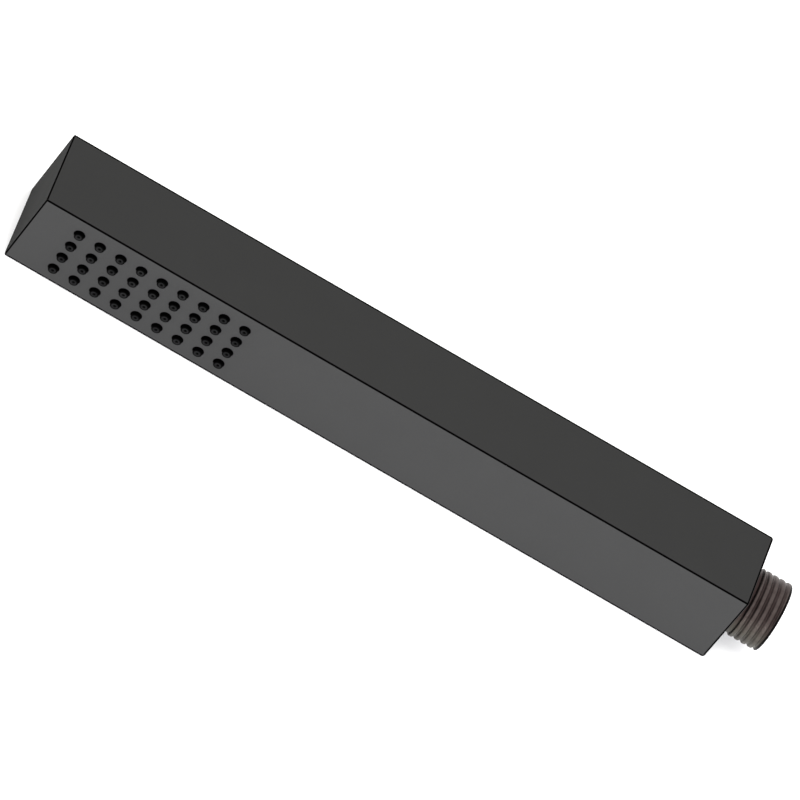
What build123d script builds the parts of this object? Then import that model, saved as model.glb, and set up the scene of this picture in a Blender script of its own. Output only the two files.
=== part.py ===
from build123d import *
import os

os.makedirs("parts", exist_ok=True)

# Stick hand shower, lying on one long side.
# X runs from the head to the inlet, the spray face looks along -Y, and Z points up.

# Body: a rectangular brass tube with a closed head end
body_length = 225.0
body_width = 28.0
body_depth = 26.6
wall = 1.5
head_wall = 2.0
edge_break = 0.3
end_edge_break = 0.5

# Spray field
columns = 9
rows = 4
column_pitch = 6.6
row_pitch = 5.6
first_column = 13.2
nozzle_hole_d = 3.0
nozzle_hole_sides = 14
nozzle_sides = 10
nozzle_play = 0.1
nozzle_reach = 1.1
nozzle_taper = 1.0
nozzle_bore_d = 1.0
nozzle_bore_sides = 6
feed_slot_width = 1.8
mat_base = 1.4
plate_thickness = 1.5
gasket_thickness = 1.0
gasket_rim = 1.8
mat_margin = 5.4
mat_corner = 2.0
mat_side_gap = 0.6

# Water channel
channel_bore = 11.8
channel_wall = 1.6
slide_gap = 0.2
socket_wall = 1.5
socket_depth = 13.0
socket_chamfer = 0.6
rib_thickness = 2.0
rib_corner = 2.5
tube_ribs = 3
back_ribs = 3
back_rib_width = 16.0

# End block and its seal
block_length = 12.0
block_gap = 0.1
block_seal_width = 2.0
block_groove_depth = 1.3
block_seal_inset = 4.0
block_bore_step = 7.0

# Inlet nipple, G 1/2
thread_major = 20.955
inlet_reach = 11.2
thread_chamfer = 0.3
neck_length = 1.5
shoulder = 0.4
shank_wall = 1.9
spigot_wall = 1.2
spigot_end_gap = 0.5
through_hex = 12.0
mouth_chamfer = 0.5
o_ring_width = 2.2
o_ring_inset = 2.0
o_ring_play = 0.05

# Cartridges in the nipple, all of one diameter
cartridge_d = 15.0
cartridge_play = 0.1
mouth_depth = 5.4

# Check valve
valve_length = 16.0
valve_wall = 1.5
valve_inlet_d = 8.4
valve_inlet_length = 3.5
valve_ring_width = 2.0
valve_ring_depth = 1.2
valve_ring_inset = 0.8
guide_thickness = 2.0
guide_ledge = 0.6
guide_rim = 1.2
guide_hub_wall = 0.95
guide_hub_length = 4.0
guide_spokes = 3
spoke_width = 1.6
stem_d = 2.8
stem_play = 0.05
stem_end = 1.0
valve_travel = 2.4
travel_spare = 0.1
flange_thickness = 1.4
flange_play = 1.0
seal_thickness = 1.1
seal_gap = 0.08
nose_d = 6.4
nose_length = 1.8
spring_d = 6.0
spring_wire = 0.5
spring_turns = 3.5
spring_gap = 0.06

# Flow regulator
regulator_length = 6.0
regulator_floor = 1.5
regulator_wall = 2.2
regulator_hole_d = 7.2
core_post_d = 3.6
core_cap_d = 8.6
core_cap_thickness = 1.2
core_fins = 4
core_fin_width = 1.2
regulator_ring_width = 1.7
regulator_ring_height = 1.9
core_play = 0.1

# Strainer
strainer_height = 2.6
strainer_wall = 0.9
strainer_ledge = 0.6
strainer_bar = 1.0
mesh_thickness = 0.25
mesh_play = 0.05

# Stations along the length, from the head to the inlet
axis_z = body_width / 2
head_x = -(body_length + inlet_reach) / 2
end_x = head_x + body_length
inlet_x = end_x + inlet_reach
field_x = head_x + first_column + (columns - 1) * column_pitch / 2
mat_length = (columns - 1) * column_pitch + 2 * mat_margin
tray_head_x = field_x - mat_length / 2
tray_tail_x = field_x + mat_length / 2
block_x = end_x - block_length
shank_x = block_x + block_bore_step

# Section of the tube's hollow
inner_width = body_width - 2 * wall
inner_depth = body_depth - 2 * wall
mat_width = inner_width - 2 * mat_side_gap

# Layers behind the spray face, measured from the axis towards that face
face_out = body_depth / 2
mat_front = face_out - wall
mat_back = mat_front - mat_base
plate_back = mat_back - plate_thickness
tray_rim = plate_back - gasket_thickness
channel_r = channel_bore / 2 + channel_wall
back_out = -(inner_depth / 2 - slide_gap)

# Radii and stations of the nipple
cartridge_r = cartridge_d / 2
nipple_bore_r = cartridge_r + cartridge_play
shank_r = nipple_bore_r + shank_wall
neck_r = shank_r + shoulder
spigot_r = nipple_bore_r + spigot_wall
socket_r = spigot_r + o_ring_play
socket_x = block_x - slide_gap
socket_end_x = socket_x - socket_depth
spigot_x = socket_end_x + spigot_end_gap
o_ring_root_r = nipple_bore_r
o_ring_x = spigot_x + o_ring_inset

# Stations of the cartridges, stacked on the step of the nipple's bore
stack_length = valve_length + regulator_length + strainer_height
step_x = inlet_x - mouth_depth - stack_length
regulator_x = step_x + valve_length
strainer_x = regulator_x + regulator_length

# Check valve: the seat is a 45 degree cone that widens from the inlet to the chamber
chamber_r = cartridge_r - valve_wall
valve_inlet_r = valve_inlet_d / 2
seat_x = regulator_x - valve_inlet_length
chamber_x = seat_x - (chamber_r - valve_inlet_r)
guide_r = chamber_r + guide_ledge
stem_r = stem_d / 2
hub_bore_r = stem_r + stem_play
hub_r = hub_bore_r + guide_hub_wall
hub_x = step_x + guide_hub_length
flange_r = chamber_r - flange_play
seal_front_r = valve_inlet_r + (flange_r - valve_inlet_r) / 3
seal_front_x = seat_x - (seal_front_r - valve_inlet_r) - seal_gap
seal_back_x = seal_front_x - seal_thickness
flange_x = seal_back_x - flange_thickness
stop_x = hub_x + valve_travel + travel_spare
spring_start_x = step_x + guide_thickness + spring_wire / 2 + spring_gap
spring_end_x = flange_x - spring_wire / 2 - spring_gap

# Planes: across the bar, along its axis, and square to the spray face at the spray field
across = Plane(origin=(0, 0, axis_z), x_dir=(0, 1, 0), z_dir=(1, 0, 0))
along = Plane(origin=(0, 0, axis_z), x_dir=(1, 0, 0), z_dir=(0, -1, 0))
spray = Plane(origin=(field_x, 0, axis_z), x_dir=(1, 0, 0), z_dir=(0, -1, 0))
bar_axis = Axis((0, 0, axis_z), (1, 0, 0))


def band(x0, x1, r0, r1, mode=Mode.ADD):
    """Draw the half section of a turned ring, from station x0 to x1 and radius r0 to r1."""
    with Locations(((x0 + x1) / 2, (r0 + r1) / 2)):
        Rectangle(x1 - x0, r1 - r0, mode=mode)


# Outlines shared by the layers behind the spray face
with BuildSketch() as mat_outline:
    Rectangle(mat_length, mat_width)
    chamfer(mat_outline.vertices(), length=mat_corner)

chamber_length = mat_length - 2 * gasket_rim
chamber_width = mat_width - 2 * gasket_rim
with BuildSketch() as chamber_outline:
    Rectangle(chamber_length, chamber_width)
    chamfer(chamber_outline.vertices(), length=mat_corner / 2)

# Body: tube with a closed head end, broken edges and one hole for each nozzle
with BuildPart() as body:
    with BuildSketch(across.offset(head_x)):
        Rectangle(body_depth, body_width)
    extrude(amount=body_length)
    chamfer(body.edges().filter_by(Axis.X), length=edge_break)
    chamfer(body.faces().sort_by(Axis.X)[0].edges(), length=edge_break)
    chamfer(body.faces().sort_by(Axis.X)[-1].edges(), length=end_edge_break)
    with BuildSketch(across.offset(head_x + head_wall)):
        Rectangle(inner_depth, inner_width)
    extrude(amount=body_length - head_wall, mode=Mode.SUBTRACT)
    with BuildSketch(spray.offset(face_out)):
        with GridLocations(column_pitch, row_pitch, columns, rows):
            RegularPolygon(nozzle_hole_d / 2, nozzle_hole_sides)
    extrude(amount=-wall, mode=Mode.SUBTRACT)
body.part.label = "body"
export_step(body.part, "parts/body.step")

# Nozzle mat: silicone sheet against the inside of the spray wall, with tapered, bored nozzles
nozzle_length = wall + nozzle_reach
with BuildPart() as nozzle_mat:
    with BuildSketch(spray.offset(mat_back)):
        add(mat_outline.sketch)
    extrude(amount=mat_base)
    with BuildSketch(spray.offset(mat_front)):
        with GridLocations(column_pitch, row_pitch, columns, rows):
            RegularPolygon(nozzle_hole_d / 2 - nozzle_play, nozzle_sides)
    extrude(amount=nozzle_length, taper=nozzle_taper)
    with BuildSketch(spray.offset(mat_back)):
        with GridLocations(column_pitch, row_pitch, columns, rows):
            RegularPolygon(nozzle_bore_d / 2, nozzle_bore_sides)
    extrude(amount=mat_base + nozzle_length, mode=Mode.SUBTRACT)
nozzle_mat.part.label = "nozzle_mat"
export_step(nozzle_mat.part, "parts/nozzle_mat.step")

# Distributor plate: stiff backing with one slot behind each column of nozzles
with BuildPart() as distributor_plate:
    with BuildSketch(spray.offset(plate_back)):
        add(mat_outline.sketch)
        with GridLocations(column_pitch, 0, columns, 1):
            Rectangle(feed_slot_width, (rows - 1) * row_pitch + feed_slot_width, mode=Mode.SUBTRACT)
    extrude(amount=plate_thickness)
distributor_plate.part.label = "distributor_plate"
export_step(distributor_plate.part, "parts/distributor_plate.step")

# Chamber gasket: flat frame between the plate and the chamber's rim
with BuildPart() as chamber_gasket:
    with BuildSketch(spray.offset(tray_rim)):
        add(mat_outline.sketch)
        add(chamber_outline.sketch, mode=Mode.SUBTRACT)
    extrude(amount=gasket_thickness)
chamber_gasket.part.label = "chamber_gasket"
export_step(chamber_gasket.part, "parts/chamber_gasket.step")

# Water channel: chamber behind the nozzles, tube along the handle and socket for the nipple
with BuildPart() as water_channel:
    with BuildSketch(spray.offset(-channel_r)):
        add(mat_outline.sketch)
    extrude(amount=tray_rim + channel_r)
    # Ribs that bear on the tube's back wall and press the chamber against the nozzle mat
    with BuildSketch(spray.offset(back_out)):
        with GridLocations(mat_length / back_ribs, 0, back_ribs, 1):
            Rectangle(rib_thickness, back_rib_width)
    extrude(amount=-back_out - channel_r)
    # Keel that meets the closed head end
    with BuildSketch(across.offset(head_x + head_wall + slide_gap)):
        Rectangle(rib_thickness, mat_width - 2 * mat_corner)
    extrude(amount=tray_head_x - head_x - head_wall - slide_gap + channel_wall)
    # Tube, socket and the collars that centre them in the body
    with BuildSketch(across.offset(tray_tail_x - channel_wall / 2)):
        Circle(channel_r)
    extrude(amount=socket_x - tray_tail_x + channel_wall / 2)
    with BuildSketch(across.offset(socket_end_x - socket_wall)):
        Circle(socket_r + socket_wall)
    extrude(amount=socket_depth + socket_wall)
    tube_run = socket_end_x - tray_tail_x
    for index in range(tube_ribs):
        rib_x = tray_tail_x + tube_run * (index + 1) / (tube_ribs + 1)
        with BuildSketch(across.offset(rib_x)) as collar:
            Rectangle(-2 * back_out, mat_width)
            chamfer(collar.vertices(), length=rib_corner)
        extrude(amount=rib_thickness)
    # Waterway: chamber, bore and socket
    with BuildSketch(spray.offset(tray_rim)):
        add(chamber_outline.sketch)
    extrude(amount=-(tray_rim + channel_bore / 2), mode=Mode.SUBTRACT)
    with BuildSketch(across.offset(tray_tail_x - gasket_rim)):
        Circle(channel_bore / 2)
    extrude(amount=socket_x - tray_tail_x + gasket_rim, mode=Mode.SUBTRACT)
    with BuildSketch(across.offset(socket_end_x)):
        Circle(socket_r)
    extrude(amount=socket_depth, mode=Mode.SUBTRACT)
    mouth = water_channel.faces().sort_by(Axis.X)[-1].edges().sort_by(SortBy.LENGTH)[0]
    chamfer(mouth, length=socket_chamfer)
water_channel.part.label = "water_channel"
export_step(water_channel.part, "parts/water_channel.step")

# End block: plug in the tube's open end, grooved for its seal and bored in two steps for the nipple
block_width = inner_width - 2 * block_gap
block_depth = inner_depth - 2 * block_gap
seal_root_width = block_width - 2 * block_groove_depth
seal_root_depth = block_depth - 2 * block_groove_depth
with BuildPart() as end_block:
    with BuildSketch(across.offset(block_x)):
        Rectangle(block_depth, block_width)
    extrude(amount=block_length)
    with BuildSketch(across.offset(block_x + block_seal_inset)):
        Rectangle(inner_depth, inner_width)
        Rectangle(seal_root_depth, seal_root_width, mode=Mode.SUBTRACT)
    extrude(amount=block_seal_width, mode=Mode.SUBTRACT)
    with BuildSketch(across.offset(block_x)):
        Circle(spigot_r)
    extrude(amount=block_bore_step, mode=Mode.SUBTRACT)
    with BuildSketch(across.offset(shank_x)):
        Circle(shank_r)
    extrude(amount=block_length - block_bore_step, mode=Mode.SUBTRACT)
end_block.part.label = "end_block"
export_step(end_block.part, "parts/end_block.step")

# End block seal: square-cut rubber ring in that groove
with BuildPart() as end_block_seal:
    with BuildSketch(across.offset(block_x + block_seal_inset)):
        Rectangle(inner_depth, inner_width)
        Rectangle(seal_root_depth, seal_root_width, mode=Mode.SUBTRACT)
    extrude(amount=block_seal_width)
end_block_seal.part.label = "end_block_seal"
export_step(end_block_seal.part, "parts/end_block_seal.step")

# Inlet nipple: turned outside, stepped bore for the cartridges, hexagon for a key
thread_r = thread_major / 2
with BuildPart() as inlet_nipple:
    with BuildSketch(along):
        band(spigot_x, shank_x, 0, spigot_r)
        band(shank_x, end_x, 0, shank_r)
        band(end_x, end_x + neck_length, 0, neck_r)
        with BuildLine():
            Polyline(
                (end_x + neck_length, 0),
                (end_x + neck_length, thread_r),
                (inlet_x - thread_chamfer, thread_r),
                (inlet_x, thread_r - thread_chamfer),
                (inlet_x, 0),
                close=True,
            )
        make_face()
        band(o_ring_x, o_ring_x + o_ring_width, o_ring_root_r, spigot_r, Mode.SUBTRACT)
        band(step_x, inlet_x, 0, nipple_bore_r, Mode.SUBTRACT)
        with BuildLine():
            Polyline(
                (inlet_x - mouth_chamfer, 0),
                (inlet_x - mouth_chamfer, nipple_bore_r),
                (inlet_x, nipple_bore_r + mouth_chamfer),
                (inlet_x, 0),
                close=True,
            )
        make_face(mode=Mode.SUBTRACT)
    revolve(axis=bar_axis)
    with BuildSketch(across.offset(spigot_x)):
        RegularPolygon(through_hex / 2, 6, major_radius=False)
    extrude(amount=step_x - spigot_x, mode=Mode.SUBTRACT)
inlet_nipple.part.label = "inlet_nipple"
export_step(inlet_nipple.part, "parts/inlet_nipple.step")

# Nipple O-ring: square-cut ring between the spigot's groove and the channel's socket
with BuildPart() as nipple_o_ring:
    with BuildSketch(along):
        band(o_ring_x, o_ring_x + o_ring_width, o_ring_root_r, socket_r)
    revolve(axis=bar_axis)
nipple_o_ring.part.label = "nipple_o_ring"
export_step(nipple_o_ring.part, "parts/nipple_o_ring.step")

# Check valve housing: inlet, 45 degree seat, chamber, and a ledge that takes the guide
ring_end_x = regulator_x - valve_ring_inset
ring_start_x = ring_end_x - valve_ring_width
ring_root_r = cartridge_r - valve_ring_depth
with BuildPart() as check_valve_housing:
    with BuildSketch(along):
        band(step_x, regulator_x, 0, cartridge_r)
        band(ring_start_x, ring_end_x, ring_root_r, cartridge_r, Mode.SUBTRACT)
        band(step_x, step_x + guide_thickness, 0, guide_r, Mode.SUBTRACT)
        with BuildLine():
            Polyline(
                (step_x, 0),
                (step_x, chamber_r),
                (chamber_x, chamber_r),
                (seat_x, valve_inlet_r),
                (regulator_x, valve_inlet_r),
                (regulator_x, 0),
                close=True,
            )
        make_face(mode=Mode.SUBTRACT)
    revolve(axis=bar_axis)
check_valve_housing.part.label = "check_valve_housing"
export_step(check_valve_housing.part, "parts/check_valve_housing.step")

# Check valve O-ring: square-cut ring round the cartridge
with BuildPart() as check_valve_o_ring:
    with BuildSketch(along):
        band(ring_start_x, ring_end_x, ring_root_r, nipple_bore_r)
    revolve(axis=bar_axis)
check_valve_o_ring.part.label = "check_valve_o_ring"
export_step(check_valve_o_ring.part, "parts/check_valve_o_ring.step")

# Check valve guide: rim on the housing's ledge, hub for the stem, and spokes between them
with BuildPart() as check_valve_guide:
    with BuildSketch(along):
        band(step_x, step_x + guide_thickness, guide_r - guide_rim, guide_r)
        band(step_x, hub_x, 0, hub_r)
    revolve(axis=bar_axis)
    spoke_reach = guide_r - guide_rim / 2
    with BuildSketch(across.offset(step_x)):
        with PolarLocations(spoke_reach / 2, guide_spokes):
            Rectangle(spoke_reach, spoke_width)
    extrude(amount=guide_thickness)
    with BuildSketch(across.offset(step_x)):
        Circle(hub_bore_r)
    extrude(amount=guide_hub_length, mode=Mode.SUBTRACT)
check_valve_guide.part.label = "check_valve_guide"
export_step(check_valve_guide.part, "parts/check_valve_guide.step")

# Check valve poppet: stem, stop shoulder, flange and the nose that holds the lip seal
with BuildPart() as check_valve_poppet:
    with BuildSketch(along):
        band(step_x + stem_end, flange_x, 0, stem_r)
        band(stop_x, flange_x, 0, hub_r)
        band(flange_x, seal_back_x, 0, flange_r)
        band(seal_back_x, seal_back_x + nose_length, 0, nose_d / 2)
    revolve(axis=bar_axis)
check_valve_poppet.part.label = "check_valve_poppet"
export_step(check_valve_poppet.part, "parts/check_valve_poppet.step")

# Check valve lip seal: rubber ring on the nose, bevelled to lie along the seat's cone
with BuildPart() as check_valve_lip_seal:
    with BuildSketch(along):
        with BuildLine():
            Polyline(
                (seal_back_x, nose_d / 2),
                (seal_back_x, seal_front_r + seal_thickness),
                (seal_front_x, seal_front_r),
                (seal_front_x, nose_d / 2),
                close=True,
            )
        make_face()
    revolve(axis=bar_axis)
check_valve_lip_seal.part.label = "check_valve_lip_seal"
export_step(check_valve_lip_seal.part, "parts/check_valve_lip_seal.step")

# Check valve spring: coil of square wire between the guide's spokes and the flange
spring_height = spring_end_x - spring_start_x
coil_base = across.offset(spring_start_x)
with BuildPart() as check_valve_spring:
    with BuildLine() as coil:
        Helix(
            pitch=spring_height / spring_turns,
            height=spring_height,
            radius=spring_d / 2,
            center=coil_base.origin,
            direction=coil_base.z_dir,
        )
    with BuildSketch(Plane(origin=coil.line @ 0, x_dir=coil_base.z_dir, z_dir=coil.line % 0)):
        Rectangle(spring_wire, spring_wire)
    sweep(path=coil.line, is_frenet=True)
check_valve_spring.part.label = "check_valve_spring"
export_step(check_valve_spring.part, "parts/check_valve_spring.step")

# Flow regulator housing: cup with a hole in its floor for the core's fins
regulator_r = cartridge_r - regulator_wall
with BuildPart() as flow_regulator_housing:
    with BuildSketch(along):
        band(regulator_x, strainer_x, regulator_r, cartridge_r)
        band(regulator_x, regulator_x + regulator_floor, regulator_hole_d / 2, cartridge_r)
    revolve(axis=bar_axis)
flow_regulator_housing.part.label = "flow_regulator_housing"
export_step(flow_regulator_housing.part, "parts/flow_regulator_housing.step")

# Flow regulator core: finned post that fits the floor's hole, under a cap
with BuildPart() as flow_regulator_core:
    with BuildSketch(along):
        band(regulator_x, strainer_x - core_cap_thickness, 0, core_post_d / 2)
        band(strainer_x - core_cap_thickness, strainer_x, 0, core_cap_d / 2)
    revolve(axis=bar_axis)
    with BuildSketch(across.offset(regulator_x)):
        for turn in range(core_fins // 2):
            Rectangle(regulator_hole_d, core_fin_width, rotation=turn * 360 / core_fins)
        Circle(regulator_hole_d / 2, mode=Mode.INTERSECT)
    extrude(amount=regulator_floor)
flow_regulator_core.part.label = "flow_regulator_core"
export_step(flow_regulator_core.part, "parts/flow_regulator_core.step")

# Flow regulator ring: rubber ring round the post, which narrows as the pressure rises
ring_inner_r = core_post_d / 2 + core_play
with BuildPart() as flow_regulator_ring:
    with BuildSketch(along):
        band(
            regulator_x + regulator_floor,
            regulator_x + regulator_floor + regulator_ring_height,
            ring_inner_r,
            ring_inner_r + regulator_ring_width,
        )
    revolve(axis=bar_axis)
flow_regulator_ring.part.label = "flow_regulator_ring"
export_step(flow_regulator_ring.part, "parts/flow_regulator_ring.step")

# Strainer frame: ring with a ledge and cross bars that carry the wire cloth
strainer_bore_r = cartridge_r - strainer_wall
strainer_hole_r = strainer_bore_r - strainer_ledge
with BuildPart() as strainer_frame:
    with BuildSketch(along):
        band(strainer_x, strainer_x + strainer_height, strainer_bore_r, cartridge_r)
        band(strainer_x, strainer_x + strainer_bar, strainer_hole_r, cartridge_r)
    revolve(axis=bar_axis)
    with BuildSketch(across.offset(strainer_x)):
        bar_length = 2 * strainer_hole_r + strainer_ledge
        Rectangle(bar_length, strainer_bar)
        Rectangle(strainer_bar, bar_length)
    extrude(amount=strainer_bar)
strainer_frame.part.label = "strainer_frame"
export_step(strainer_frame.part, "parts/strainer_frame.step")

# Strainer mesh: disc of wire cloth on the ledge
with BuildPart() as strainer_mesh:
    with BuildSketch(across.offset(strainer_x + strainer_bar)):
        Circle(strainer_bore_r - mesh_play)
    extrude(amount=mesh_thickness)
strainer_mesh.part.label = "strainer_mesh"
export_step(strainer_mesh.part, "parts/strainer_mesh.step")
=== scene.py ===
import math

import bmesh
import bpy
from mathutils import Matrix, Vector


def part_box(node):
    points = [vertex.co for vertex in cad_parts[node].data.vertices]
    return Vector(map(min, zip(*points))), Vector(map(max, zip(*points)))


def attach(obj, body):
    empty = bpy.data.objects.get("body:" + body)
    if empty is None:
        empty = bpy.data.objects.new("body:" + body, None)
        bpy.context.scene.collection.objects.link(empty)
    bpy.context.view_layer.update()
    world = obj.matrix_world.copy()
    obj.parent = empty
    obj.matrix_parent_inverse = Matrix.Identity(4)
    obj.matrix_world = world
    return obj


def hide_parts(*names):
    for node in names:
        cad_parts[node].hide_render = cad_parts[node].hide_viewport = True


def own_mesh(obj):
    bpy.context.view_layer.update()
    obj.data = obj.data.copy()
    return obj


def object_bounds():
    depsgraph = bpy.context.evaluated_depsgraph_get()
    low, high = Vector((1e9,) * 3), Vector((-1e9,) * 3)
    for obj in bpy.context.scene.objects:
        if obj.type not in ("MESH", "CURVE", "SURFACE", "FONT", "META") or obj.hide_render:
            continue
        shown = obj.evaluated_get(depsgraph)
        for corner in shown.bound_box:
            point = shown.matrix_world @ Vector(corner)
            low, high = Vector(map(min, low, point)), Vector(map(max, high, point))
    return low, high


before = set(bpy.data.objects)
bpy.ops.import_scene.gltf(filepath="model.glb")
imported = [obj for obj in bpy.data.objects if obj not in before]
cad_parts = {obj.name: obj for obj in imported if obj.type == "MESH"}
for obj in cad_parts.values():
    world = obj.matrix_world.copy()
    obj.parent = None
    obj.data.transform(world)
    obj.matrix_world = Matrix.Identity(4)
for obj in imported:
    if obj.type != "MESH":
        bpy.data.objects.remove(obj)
cad_low, cad_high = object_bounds()
scene = bpy.context.scene

# All lengths are in metres, in the row frame. The bar runs along X, its spray face looks along -Y.
MM = 0.001
axis_z = 14.0 * MM

# Spray field: the nozzles' grid and the holes that they stand in
mat_low, mat_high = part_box("nozzle_mat")
field_x = (mat_low.x + mat_high.x) / 2
columns, rows = 9, 4
column_pitch = 6.6 * MM
row_pitch = 5.6 * MM
hole_r = 1.5 * MM
body_low, body_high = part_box("body")

# Camera: a long lens, solved from the corners of the bar and the spray field in the photograph
camera_azimuth = -13.0748
camera_elevation = 46.6236
camera_roll = 39.5523
camera_distance = 4.6033
camera_lens = 752.375
camera_sensor = 36.0
camera_clip = (0.1, 50.0)
camera_aim = (-2.1469 * MM, 1.8905 * MM)


def aim_camera():
    """Camera that looks at the bar's middle, moved within the picture plane by camera_aim."""
    azimuth, elevation, roll = map(math.radians, (camera_azimuth, camera_elevation, camera_roll))
    back = Vector(
        (
            math.sin(azimuth) * math.cos(elevation),
            -math.cos(azimuth) * math.cos(elevation),
            math.sin(elevation),
        )
    )
    level = Vector((0, 0, 1)).cross(back).normalized()
    upright = back.cross(level)
    right = level * math.cos(roll) + upright * math.sin(roll)
    up = upright * math.cos(roll) - level * math.sin(roll)
    target = Vector((0, 0, axis_z)) + right * camera_aim[0] + up * camera_aim[1]
    data = bpy.data.cameras.new("camera")
    data.lens = camera_lens
    data.sensor_width = camera_sensor
    data.clip_start, data.clip_end = camera_clip
    camera = bpy.data.objects.new("camera", data)
    turn = Matrix((right, up, back)).transposed().to_4x4()
    camera.matrix_world = Matrix.Translation(target + back * camera_distance) @ turn
    scene.collection.objects.link(camera)
    scene.camera = camera


aim_camera()


# Materials
class Shader:
    """A principled material whose nodes read the object's own coordinates."""

    def __init__(self, name):
        self.material = bpy.data.materials.new(name)
        self.material.use_nodes = True
        self.tree = self.material.node_tree
        self.tree.nodes.clear()
        output = self.node("ShaderNodeOutputMaterial")
        self.surface = self.node("ShaderNodeBsdfPrincipled")
        self.tree.links.new(self.surface.outputs["BSDF"], output.inputs["Surface"])
        self.coordinates = self.node("ShaderNodeTexCoord").outputs["Object"]

    def node(self, kind, **settings):
        """A new node of a kind, with some of its settings."""
        made = self.tree.nodes.new(kind)
        for key, value in settings.items():
            setattr(made, key, value)
        return made

    def feed(self, socket, value):
        """Links value to socket if it is a socket, and sets it otherwise."""
        if isinstance(value, bpy.types.NodeSocket):
            self.tree.links.new(value, socket)
        else:
            socket.default_value = value

    def math(self, operation, *values):
        """Result of one arithmetic operation on sockets or numbers."""
        made = self.node("ShaderNodeMath", operation=operation)
        for socket, value in zip(made.inputs, values):
            self.feed(socket, value)
        return made.outputs[0]

    def split(self, vector):
        """The three parts of a vector."""
        made = self.node("ShaderNodeSeparateXYZ")
        self.feed(made.inputs[0], vector)
        return made.outputs

    def stretched(self, scale):
        """The object's coordinates, scaled by one factor for each axis."""
        made = self.node("ShaderNodeMapping", vector_type="TEXTURE")
        self.feed(made.inputs["Vector"], self.coordinates)
        made.inputs["Scale"].default_value = [1 / factor for factor in scale]
        return made.outputs[0]

    def noise(self, size, detail=2.0, roughness=0.5, vector=None):
        """Noise from 0 to 1 whose grains are about size across."""
        made = self.node("ShaderNodeTexNoise")
        self.feed(made.inputs["Vector"], self.coordinates if vector is None else vector)
        made.inputs["Scale"].default_value = 1 / size
        made.inputs["Detail"].default_value = detail
        made.inputs["Roughness"].default_value = roughness
        return made.outputs["Fac"]

    def remap(self, value, low, high, to_low=0.0, to_high=1.0):
        """Value, smoothly taken from the range low to high to the range to_low to to_high."""
        made = self.node("ShaderNodeMapRange", interpolation_type="SMOOTHSTEP")
        for name, number in (
            ("Value", value),
            ("From Min", low),
            ("From Max", high),
            ("To Min", to_low),
            ("To Max", to_high),
        ):
            self.feed(made.inputs[name], number)
        return made.outputs[0]

    def mix(self, share, first, second):
        """Colour between first and second. The mix node's colour sockets are 6, 7 and 2."""
        made = self.node("ShaderNodeMix", data_type="RGBA")
        self.feed(made.inputs["Factor"], share)
        for socket, colour in ((made.inputs[6], first), (made.inputs[7], second)):
            self.feed(socket, (*colour, 1.0) if isinstance(colour, tuple) else colour)
        return made.outputs[2]

    def from_nozzle(self, x, z):
        """Distance from the axis of the nearest nozzle of the spray field."""
        squares = []
        for value, middle, pitch, count in (
            (x, field_x, column_pitch, columns),
            (z, axis_z, row_pitch, rows),
        ):
            first = middle - (count - 1) / 2 * pitch
            place = self.math("DIVIDE", self.math("SUBTRACT", value, first), pitch)
            nearest = self.math("MAXIMUM", self.math("ROUND", place), 0.0)
            nearest = self.math("MINIMUM", nearest, count - 1.0)
            off = self.math("MULTIPLY", self.math("SUBTRACT", place, nearest), pitch)
            squares.append(self.math("MULTIPLY", off, off))
        return self.math("SQRT", self.math("ADD", *squares))

    def bump(self, height, distance, strength):
        """Fine relief of the surface, too small to model."""
        made = self.node("ShaderNodeBump")
        self.feed(made.inputs["Height"], height)
        made.inputs["Distance"].default_value = distance
        made.inputs["Strength"].default_value = strength
        self.feed(self.surface.inputs["Normal"], made.outputs[0])

    def finish(self, colour, roughness, metallic=0.0, specular=0.5):
        """Sets the surface and gives the finished material."""
        self.feed(self.surface.inputs["Base Color"], colour)
        self.feed(self.surface.inputs["Roughness"], roughness)
        self.surface.inputs["Metallic"].default_value = metallic
        self.feed(self.surface.inputs["Specular IOR Level"], specular)
        return self.material


# Paint: its darker and lighter clouds, and its specks
cloud_colours = (0.0231, 0.0231, 0.0227), (0.0258, 0.0258, 0.0253)
speck_colour = (0.0174, 0.0174, 0.0178)
paint_gloss = 0.034
# Painted shade along the bar's edges and painted shadow round the nozzle holes: each is full as far as
# the first distance and gone at the second
painted_shade_colour = (0.0004, 0.0004, 0.0004)
edge_shade_full, edge_shade_gone = 0.35 * MM, 0.42 * MM
hole_shadow_full, hole_shadow_gone = 0.12 * MM, 0.24 * MM
# Distances from the inlet end, and from the back and the underside, are multiplied by these, which
# widens the painted shade there
inlet_factor = 0.62
far_factor = 0.5
# The painted shadow round the holes, which also darkens the holes' walls, is on the front wall alone:
# none behind the first place, and full in front of the second
front_wall_y = (-11.0 * MM, -11.6 * MM)


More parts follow.
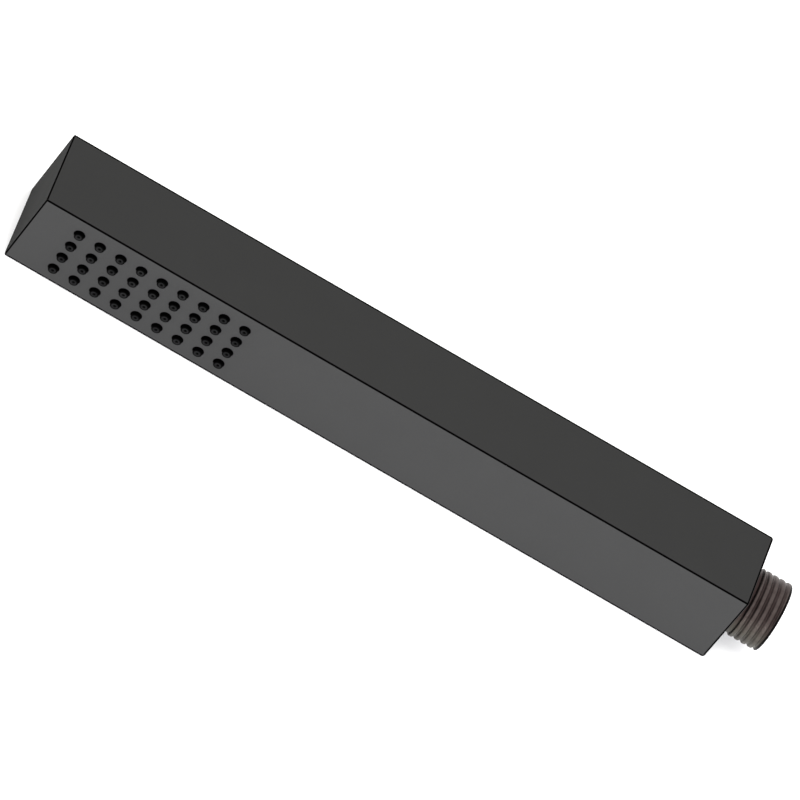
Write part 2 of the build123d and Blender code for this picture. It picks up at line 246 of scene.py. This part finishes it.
def matt_paint():
    """Matt black paint on metal: fine grain, faint cloudiness, painted shade along edges and painted
    shadow round the holes.
    """
    shader = Shader("matt_black_paint")
    cloud = shader.noise(size=14 * MM, detail=3)
    grain = shader.noise(size=0.22 * MM)
    flat = shader.mix(cloud, *cloud_colours)
    speckled = shader.mix(shader.remap(grain, 0.3, 0.7, to_high=0.22), flat, speck_colour)
    # Distance to the nearest edge of the bar: the second smallest of the distances to its faces
    x, y, z = shader.split(shader.coordinates)
    to_head = shader.math("SUBTRACT", x, body_low.x)
    to_inlet = shader.math("MULTIPLY", shader.math("SUBTRACT", body_high.x, x), inlet_factor)
    to_back = shader.math("MULTIPLY", shader.math("SUBTRACT", body_high.y, y), far_factor)
    to_front = shader.math("SUBTRACT", y, body_low.y)
    to_floor = shader.math("MULTIPLY", z, far_factor)
    to_top = shader.math("SUBTRACT", body_high.z, z)
    dx = shader.math("MINIMUM", to_head, to_inlet)
    dy = shader.math("MINIMUM", to_back, to_front)
    dz = shader.math("MINIMUM", to_floor, to_top)
    lesser = shader.math("MINIMUM", dx, dy)
    greater = shader.math("MAXIMUM", dx, dy)
    second = shader.math("MAXIMUM", lesser, shader.math("MINIMUM", greater, dz))
    # Painted shade along every edge of the bar, wider at the inlet end, the back and the underside
    edge = shader.remap(second, edge_shade_full, edge_shade_gone, to_low=1.0, to_high=0.0)
    # Painted shadow round each nozzle hole and down its wall, on the front wall alone
    from_hole = shader.math("SUBTRACT", shader.from_nozzle(x, z), hole_r)
    near_hole_shadow = shader.remap(from_hole, hole_shadow_full, hole_shadow_gone, to_low=1.0, to_high=0.0)
    rim = shader.math("MULTIPLY", near_hole_shadow, shader.remap(y, *front_wall_y))
    edge_and_hole_shade = shader.math("MAXIMUM", edge, rim)
    shader.bump(grain, distance=0.006 * MM, strength=0.5)
    # No gloss on the painted shade and shadow, so that they stay dark
    gloss = shader.math("MULTIPLY", shader.math("SUBTRACT", 1.0, edge_and_hole_shade), paint_gloss)
    rough = shader.remap(cloud, 0.2, 0.8, to_low=0.8, to_high=0.86)
    return shader.finish(shader.mix(edge_and_hole_shade, speckled, painted_shade_colour), rough, specular=gloss)


def silicone(name, dark, light, specular=0.25, tip_highlight_r=None):
    """Moulded rubber: dull, with the fine texture of an eroded mould.

    With a radius for the highlight, it is lighter within that distance of each nozzle's axis and
    darkest beyond it: a painted highlight on the nozzles' tips and painted shade round them.
    """
    shader = Shader(name)
    bloom = shader.noise(size=2.5 * MM, detail=4)
    shader.bump(shader.noise(size=0.12 * MM), distance=0.008 * MM, strength=0.6)
    # Painted highlight on the nozzles' tips, and painted shade round them
    if tip_highlight_r:
        fade = 0.15 * MM
        x, _, z = shader.split(shader.coordinates)
        off = shader.from_nozzle(x, z)
        tip_highlight = shader.remap(off, tip_highlight_r - fade, tip_highlight_r + fade, to_low=1.0, to_high=0.0)
        bloom = shader.math("MULTIPLY", bloom, tip_highlight)
    rough = shader.remap(bloom, 0.3, 0.7, to_low=0.55, to_high=0.68)
    return shader.finish(shader.mix(bloom, dark, light), rough, specular=specular)


def plastic(name, dark, light):
    """Injection-moulded plastic: faint flow marks along X and a fine satin texture."""
    shader = Shader(name)
    flow = shader.noise(size=3.5 * MM, detail=3, vector=shader.stretched((0.25, 1, 1)))
    shader.bump(shader.noise(size=0.15 * MM), distance=0.006 * MM, strength=0.5)
    rough = shader.remap(flow, 0.25, 0.75, to_low=0.4, to_high=0.48)
    return shader.finish(shader.mix(flow, dark, light), rough, specular=0.45)


# Nipple's metal: the grooves' colour at the first radius and the crests' colour at the second
groove_colour = (0.0362, 0.0224, 0.0216)
crest_colour = (0.0853, 0.0681, 0.0638)
groove_colour_r, crest_colour_r = 9.7 * MM, 10.42 * MM
# Painted reflection: it turns greenish towards the underside, and a little towards the front
underside_reflection_colour = (0.0776, 0.0776, 0.063)
green_front = 0.35
green_from, green_to = -4 * MM, 7 * MM
# Painted shade: its outer edge round the mouth is nearly black
mouth_shade_colour = (0.006, 0.005, 0.005)
mouth_shade_x = cad_high.x - 0.75 * MM
mouth_shade_fade = 0.06 * MM
mouth_shade_r = (crest_colour_r - 0.4 * MM, crest_colour_r - 0.2 * MM)


def turned_brass():
    """Dark turned brass, stained, with fine tool marks round the bar's axis; painted reflection on its
    underside and painted shade round the mouth's outer edge.
    """
    shader = Shader("nipple_metal")
    x, y, z = shader.split(shader.coordinates)
    height = shader.math("SUBTRACT", z, axis_z)
    squares = [shader.math("MULTIPLY", part, part) for part in (y, height)]
    radius = shader.math("SQRT", shader.math("ADD", *squares))
    marks = shader.noise(size=0.09 * MM, vector=shader.stretched((1, 0.04, 0.04)))
    stain = shader.noise(size=1.8 * MM, detail=4, roughness=0.6)
    crest = shader.remap(radius, groove_colour_r, crest_colour_r)
    colour = shader.mix(crest, groove_colour, crest_colour)
    # Painted reflection on the underside and front: greenish there
    below = shader.math("SUBTRACT", shader.math("MULTIPLY", y, -green_front), height)
    underside_reflection = shader.remap(below, green_from, green_to, to_high=0.75)
    colour = shader.mix(underside_reflection, colour, underside_reflection_colour)
    colour = shader.mix(shader.remap(stain, 0.35, 0.75, to_high=0.4), colour, groove_colour)
    # Painted shade along the outer edge round the mouth
    outside = shader.remap(radius, *mouth_shade_r)
    rim = shader.math("MULTIPLY", shader.remap(x, mouth_shade_x, mouth_shade_x + mouth_shade_fade), outside)
    colour = shader.mix(rim, colour, mouth_shade_colour)
    shader.bump(marks, distance=0.006 * MM, strength=0.6)
    rough = shader.remap(marks, 0.3, 0.7, to_low=0.42, to_high=0.54)
    return shader.finish(colour, rough, metallic=1.0)


def drawn_wire(name, dark, light):
    """Drawn stainless wire with fine die marks."""
    shader = Shader(name)
    marks = shader.noise(size=0.05 * MM, detail=3)
    shader.bump(marks, distance=0.002 * MM, strength=0.4)
    rough = shader.remap(marks, 0.3, 0.7, to_low=0.28, to_high=0.38)
    return shader.finish(shader.mix(marks, dark, light), rough, metallic=1.0)


paint = matt_paint()
# Nozzles' rubber, with a painted highlight on their tips
nozzle_rubber = silicone(
    "nozzle_rubber",
    (0.0003, 0.0003, 0.0003),
    (0.0112, 0.0112, 0.0114),
    specular=0.0103,
    tip_highlight_r=0.95 * MM,
)
seal_rubber = silicone("seal_rubber", (0.016, 0.016, 0.016), (0.026, 0.026, 0.026))
channel_plastic = plastic("channel_plastic", (0.07, 0.07, 0.075), (0.09, 0.09, 0.095))
valve_plastic = plastic("valve_plastic", (0.68, 0.69, 0.68), (0.76, 0.77, 0.76))
regulator_plastic = plastic("regulator_plastic", (0.09, 0.28, 0.18), (0.11, 0.32, 0.22))
strainer_plastic = plastic("strainer_plastic", (0.05, 0.05, 0.052), (0.07, 0.07, 0.073))
steel_wire = drawn_wire("steel_wire", (0.42, 0.42, 0.41), (0.62, 0.62, 0.61))
cloth_wire = drawn_wire("cloth_wire", (0.4, 0.4, 0.39), (0.58, 0.58, 0.56))
nipple_metal = turned_brass()

node_materials = {
    "body": paint,
    "end_block": paint,
    "end_block_seal": seal_rubber,
    "inlet_nipple": nipple_metal,
    "nipple_o_ring": seal_rubber,
    "nozzle_mat": nozzle_rubber,
    "distributor_plate": channel_plastic,
    "chamber_gasket": seal_rubber,
    "water_channel": channel_plastic,
    "check_valve_housing": valve_plastic,
    "check_valve_o_ring": seal_rubber,
    "check_valve_guide": valve_plastic,
    "check_valve_poppet": valve_plastic,
    "check_valve_lip_seal": seal_rubber,
    "check_valve_spring": steel_wire,
    "flow_regulator_housing": regulator_plastic,
    "flow_regulator_core": regulator_plastic,
    "flow_regulator_ring": seal_rubber,
    "strainer_frame": strainer_plastic,
    "strainer_mesh": cloth_wire,
}
for name, material in node_materials.items():
    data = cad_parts[name].data
    data.materials.clear()
    data.materials.append(material)

# Mesh helpers
merge_distance = 0.0005 * MM
sharp_angle = math.radians(35.0)


def add_tube(shape, loops, closed_path=False, cap=False):
    """Adds quads between successive rings of points, all with the same number of points."""
    rings = [[shape.verts.new(point) for point in loop] for loop in loops]
    pairs = list(zip(rings, rings[1:]))
    if closed_path:
        pairs.append((rings[-1], rings[0]))
    for first, second in pairs:
        for i in range(len(first)):
            j = (i + 1) % len(first)
            shape.faces.new((first[i], first[j], second[j], second[i]))
    if cap:
        shape.faces.new(reversed(rings[0]))
        shape.faces.new(rings[-1])


def make_piece(name, shape, material, body, replaced):
    """Turns a finished bmesh into a piece that rides on a body in place of a CAD node."""
    bmesh.ops.remove_doubles(shape, verts=shape.verts, dist=merge_distance)
    bmesh.ops.recalc_face_normals(shape, faces=shape.faces)
    data = bpy.data.meshes.new(name)
    shape.to_mesh(data)
    shape.free()
    data.shade_smooth()
    data.set_sharp_from_angle(angle=sharp_angle)
    data.materials.append(material)
    piece = bpy.data.objects.new(name, data)
    scene.collection.objects.link(piece)
    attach(piece, body)
    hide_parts(replaced)
    return piece


# Inlet nipple: turned outside with a rolled thread, stepped bore and key hexagon
nipple_low, nipple_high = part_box("inlet_nipple")
spigot_x, inlet_x = nipple_low.x, nipple_high.x
thread_r = (nipple_high.z - nipple_low.z) / 2
end_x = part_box("body")[1].x
narrow_bore_length = 7.0 * MM
shank_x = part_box("end_block")[0].x + narrow_bore_length
step_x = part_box("check_valve_housing")[0].x
o_ring_low, o_ring_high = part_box("nipple_o_ring")
bore_r = 7.6 * MM
o_ring_groove_r = 7.6 * MM
spigot_face_r = 7.2 * MM
spigot_r = 8.8 * MM
shank_r = 9.5 * MM
neck_r = 9.9 * MM
neck_length = 1.5 * MM
hexagon_flat = 6.0 * MM
hexagon_corner = hexagon_flat / math.cos(math.pi / 6)
step_face_r = hexagon_corner + 0.2 * MM
soft_edge = 0.12 * MM
longest_soft_share = 0.4
mouth_chamfer = 0.5 * MM
mouth_face_r = thread_r - 1.2 * MM
points_around = 168

# Its thread: the run-in rises from the neck, and a crest passes phase_x at the angle thread_turn
thread_x = end_x + neck_length
thread_pitch = 2.1 * MM
thread_depth = 0.5 * MM
thread_chamfer = 0.16 * MM
thread_turn = math.radians(137)
phase_x = inlet_x - 0.3 * MM
groove_share = 0.36
run_in = 0.4 * thread_pitch
thread_rings = 96


def turned_ring(x, radius):
    """Ring about the bar's axis. Radius is a number, or a function of the angle from +Y towards +Z."""
    points = []
    for i in range(points_around):
        angle = 2 * math.pi * i / points_around
        r = radius(angle) if callable(radius) else radius
        points.append((x, r * math.cos(angle), axis_z + r * math.sin(angle)))
    return points


def hexagon(angle):
    """Radius of a regular hexagon, its flats hexagon_flat from the axis."""
    sixth = math.pi / 3
    return hexagon_flat / math.cos((angle % sixth) - sixth / 2)


def thread_radius(x, angle):
    """Radius of the thread at a station and angle: broad crests and narrower round grooves."""
    along = (phase_x - x) / thread_pitch + (angle - thread_turn) / (2 * math.pi)
    off = abs((along % 1.0) - 0.5)
    groove = 0.5 + 0.5 * math.cos(math.pi * min(1.0, off / groove_share))
    fade = min(1.0, max(0.0, (x - thread_x) / run_in))
    fade = fade * fade * (3 - 2 * fade)
    radius = thread_r - thread_depth * groove * fade - (thread_r - neck_r) * (1 - fade)
    limit = thread_r - max(0.0, x - (inlet_x - thread_chamfer))
    return min(radius, limit)


def thread_ring(x):
    """Ring of the thread at a station."""
    return turned_ring(x, lambda angle: thread_radius(x, angle))


def rounded(corners):
    """Stations of a turned outline, with each inner corner cut into two points close to it."""
    path = [corners[0]]
    for before, here, after in zip(corners, corners[1:], corners[2:]):
        corner = Vector(here)
        for other in (Vector(before), Vector(after)):
            away = other - corner
            cut = min(soft_edge, away.length * longest_soft_share)
            path.append(tuple(corner + away.normalized() * cut))
    path.append(corners[-1])
    return path


def nipple_shape():
    """The nipple's skin: from the hexagon at its inner end over the outside, back through the bore."""
    outside = rounded(
        [
            (spigot_x, spigot_face_r),
            (spigot_x, spigot_r),
            (o_ring_low.x, spigot_r),
            (o_ring_low.x, o_ring_groove_r),
            (o_ring_high.x, o_ring_groove_r),
            (o_ring_high.x, spigot_r),
            (shank_x, spigot_r),
            (shank_x, shank_r),
            (end_x, shank_r),
            (end_x, neck_r),
            (thread_x, neck_r),
        ]
    )
    inside = rounded(
        [
            (inlet_x, mouth_face_r),
            (inlet_x, bore_r + mouth_chamfer),
            (inlet_x - mouth_chamfer, bore_r),
            (step_x, bore_r),
            (step_x, step_face_r),
        ]
    )
    thread_start = thread_x + soft_edge
    thread_step = (inlet_x - thread_start) / thread_rings
    loops = [turned_ring(spigot_x, hexagon)]
    loops += [turned_ring(x, r) for x, r in outside]
    loops += [thread_ring(thread_start + thread_step * i) for i in range(thread_rings + 1)]
    loops += [turned_ring(x, r) for x, r in inside]
    loops.append(turned_ring(step_x, hexagon))
    shape = bmesh.new()
    add_tube(shape, loops, closed_path=True)
    return shape


make_piece(
    "inlet_nipple_threaded",
    nipple_shape(),
    nipple_metal,
    "handle",
    "inlet_nipple",
)

# Nozzle mat: one moulded sheet, each nozzle a tapered, round-edged tip with a countersunk bore
mat_corner = 2.0 * MM
mat_thickness = 1.4 * MM
mat_back_y = mat_high.y
mat_front_y = mat_back_y - mat_thickness
tip_height = mat_front_y - mat_low.y
back_hole_r = 0.6 * MM
side_points = 12
seam_distance = 0.001 * MM

# A nozzle's radius and height above the sheet's front face, from the foot over the tip to the bore
nozzle_outline = [
    (1.42 * MM, 0.0),
    (1.4 * MM, 0.1 * MM),
    (1.38 * MM, 0.9 * MM),
    (1.37 * MM, tip_height - 0.2 * MM),
    (1.345 * MM, tip_height - 0.1 * MM),
    (1.28 * MM, tip_height - 0.035 * MM),
    (1.19 * MM, tip_height - 0.006 * MM),
    (1.1 * MM, tip_height),
    (0.52 * MM, tip_height),
    (0.46 * MM, tip_height - 0.05 * MM),
    (0.44 * MM, tip_height - 0.2 * MM),
    (0.44 * MM, 0.2 * MM),
    (0.5 * MM, -0.6 * MM),
]


def square_ring(x, z, y):
    """Points round one nozzle's cell, the same number on each side, from its lowest corner."""
    half_x, half_z = column_pitch / 2, row_pitch / 2
    corners = [(-half_x, -half_z), (half_x, -half_z), (half_x, half_z), (-half_x, half_z)]
    points = []
    for i, (start_x, start_z) in enumerate(corners):
        stop_x, stop_z = corners[(i + 1) % 4]
        for k in range(side_points):
            share = k / side_points
            along_x = start_x + (stop_x - start_x) * share
            along_z = start_z + (stop_z - start_z) * share
            points.append((x + along_x, y, z + along_z))
    return points


def round_ring(x, z, y, radius):
    """As many points as square_ring has, on a circle, and matched to them."""
    count = 4 * side_points
    lowest_corner = math.radians(-135)
    angles = [lowest_corner + 2 * math.pi * i / count for i in range(count)]
    return [(x + radius * math.cos(a), y, z + radius * math.sin(a)) for a in angles]


def mat_rim(x, z):
    """Point of the sheet's outline in the direction of a point on the nozzle field's border."""
    half_x, half_z = (mat_high.x - mat_low.x) / 2, (mat_high.z - mat_low.z) / 2
    scaled_x = (x - field_x) / (columns * column_pitch / 2) * half_x
    scaled_z = (z - axis_z) / (rows * row_pitch / 2) * half_z
    over = abs(scaled_x) + abs(scaled_z) - (half_x + half_z - mat_corner)
    if over > 0:
        scaled_x -= math.copysign(over / 2, scaled_x)
        scaled_z -= math.copysign(over / 2, scaled_z)
    return field_x + scaled_x, axis_z + scaled_z


def nozzle_sheet():
    """The whole mat: one cell for each nozzle, and the sheet's border round them."""
    shape = bmesh.new()
    for column in range(columns):
        for row in range(rows):
            x = field_x + (column - (columns - 1) / 2) * column_pitch
            z = axis_z + (row - (rows - 1) / 2) * row_pitch
            loops = [square_ring(x, z, mat_front_y)]
            loops += [round_ring(x, z, mat_front_y - height, r) for r, height in nozzle_outline]
            loops += [round_ring(x, z, mat_back_y, back_hole_r), square_ring(x, z, mat_back_y)]
            add_tube(shape, loops)
    bmesh.ops.remove_doubles(shape, verts=shape.verts, dist=seam_distance)
    borders = [edge for edge in shape.edges if edge.is_boundary]
    outer = {}
    for edge in borders:
        for vert in edge.verts:
            if vert not in outer:
                x, z = mat_rim(vert.co.x, vert.co.z)
                outer[vert] = shape.verts.new((x, vert.co.y, z))
    for edge in borders:
        first, second = edge.verts
        shape.faces.new((first, second, outer[second], outer[first]))
    bmesh.ops.remove_doubles(shape, verts=shape.verts, dist=seam_distance)
    rim = [edge for edge in shape.edges if edge.is_boundary]
    bmesh.ops.bridge_loops(shape, edges=rim)
    return shape


make_piece(
    "nozzle_mat_moulded",
    nozzle_sheet(),
    nozzle_rubber,
    "handle",
    "nozzle_mat",
)

# Strainer: plain-woven wire cloth, cut round
cloth_low, cloth_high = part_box("strainer_mesh")
cloth_x = (cloth_low.x + cloth_high.x) / 2
cloth_r = (cloth_high.z - cloth_low.z) / 2
wire_r = 0.06 * MM
weave_pitch = 0.5 * MM
wire_sides = 6
bends_per_crossing = 6


def woven_wire(shape, offset, lengthwise, phase):
    """One wire of the cloth, at offset from the middle, which goes over and under those it crosses."""
    half = math.sqrt((cloth_r - wire_r) ** 2 - offset**2)
    steps = int(2 * half / weave_pitch * bends_per_crossing)
    loops = []
    for i in range(steps + 1):
        along = -half + 2 * half * i / steps
        wave = math.pi * (along / weave_pitch + 0.5) + phase
        sway = wire_r * math.sin(wave)
        tilt = math.atan(wire_r * math.pi / weave_pitch * math.cos(wave))
        loop = []
        for k in range(wire_sides):
            angle = 2 * math.pi * k / wire_sides
            across, out = wire_r * math.cos(angle), wire_r * math.sin(angle)
            lift = cloth_x + sway + out * math.cos(tilt)
            run = along - out * math.sin(tilt)
            side = offset + across
            y, z = (run, side) if lengthwise else (side, run)
            loop.append((lift, y, axis_z + z))
        loops.append(loop)
    add_tube(shape, loops, cap=True)


def wire_cloth():
    """The cloth's wires, both ways, each cut at the cloth's rim."""
    shape = bmesh.new()
    reach = int((cloth_r - wire_r) / weave_pitch)
    for lengthwise in (True, False):
        for index in range(-reach, reach + 1):
            parity = index % 2 + (1 if lengthwise else 0)
            woven_wire(shape, index * weave_pitch, lengthwise, parity * math.pi)
    return shape


make_piece(
    "strainer_wire_cloth",
    wire_cloth(),
    cloth_wire,
    "handle",
    "strainer_mesh",
)

# Check valve spring: round wire, coiled over the length of the CAD spring
spring_low, spring_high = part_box("check_valve_spring")
spring_wire_r = 0.25 * MM
spring_r = 3.0 * MM
spring_turns = 3.5
coil_steps_per_turn = 40
coil_sides = 10


def coil():
    """The spring's wire, from its first turn to its last."""
    start, stop = spring_low.x + spring_wire_r, spring_high.x - spring_wire_r
    steps = int(spring_turns * coil_steps_per_turn)
    loops = []
    for i in range(steps + 1):
        turn = 2 * math.pi * spring_turns * i / steps
        radial = Vector((0, math.cos(turn), math.sin(turn)))
        tangent = Vector((0, -math.sin(turn), math.cos(turn))) * spring_r
        tangent.x = (stop - start) / (2 * math.pi * spring_turns)
        side = tangent.normalized().cross(radial)
        centre = Vector((start + (stop - start) * i / steps, 0, axis_z)) + radial * spring_r
        loop = []
        for k in range(coil_sides):
            angle = 2 * math.pi * k / coil_sides
            out = radial * math.cos(angle) + side * math.sin(angle)
            loop.append(centre + out * spring_wire_r)
        loops.append(loop)
    shape = bmesh.new()
    add_tube(shape, loops, cap=True)
    return shape


spring = make_piece(
    "check_valve_spring_coil",
    coil(),
    steel_wire,
    "handle",
    "check_valve_spring",
)
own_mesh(spring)

# Stage: plain pale floor, soft studio light
floor_half = 6.0
floor_squares = 8
floor_gap = 0.02 * MM
floor_shape = bmesh.new()
bmesh.ops.create_grid(
    floor_shape, x_segments=floor_squares, y_segments=floor_squares, size=floor_half
)
floor_data = bpy.data.meshes.new("floor")
floor_shape.to_mesh(floor_data)
floor_shape.free()
floor = bpy.data.objects.new("floor", floor_data)
floor.location.z = -floor_gap
scene.collection.objects.link(floor)
paper = Shader("pale_floor")
paper_colour = paper.mix(paper.noise(size=0.4), (0.93, 0.93, 0.93), (0.95, 0.95, 0.95))
floor_data.materials.append(paper.finish(paper_colour, roughness=0.9, specular=0.1))

sky_colour = (0.95, 0.95, 0.95, 1)
sky_strength = 1.45
world = bpy.data.worlds.new("studio")
world.use_nodes = True
sky = world.node_tree.nodes["Background"]
sky.inputs["Color"].default_value = sky_colour
sky.inputs["Strength"].default_value = sky_strength
scene.world = world


def softbox(name, azimuth, elevation, distance, width, height, power, colour):
    """Area light that faces the bar. Azimuth 0 is in front of the spray face, 90 at the inlet end."""
    a, e = math.radians(azimuth), math.radians(elevation)
    away = Vector((math.sin(a) * math.cos(e), -math.cos(a) * math.cos(e), math.sin(e)))
    data = bpy.data.lights.new(name, "AREA")
    data.shape = "RECTANGLE"
    data.size, data.size_y = width, height
    data.energy = power
    data.color = colour
    light = bpy.data.objects.new(name, data)
    light.location = away * distance
    light.rotation_mode = "QUATERNION"
    light.rotation_quaternion = away.to_track_quat("Z", "Y")
    light.visible_camera = False
    light.visible_glossy = False
    scene.collection.objects.link(light)


softbox(
    "front_softbox",
    azimuth=12,
    elevation=9.5,
    distance=1.7,
    width=1.0,
    height=0.5,
    power=72,
    colour=(0.955, 0.958, 1.0),
)
softbox(
    "top_softbox",
    azimuth=-6,
    elevation=78,
    distance=1.9,
    width=0.9,
    height=0.9,
    power=15,
    colour=(1.0, 0.985, 0.94),
)

scene.view_settings.view_transform = "Standard"
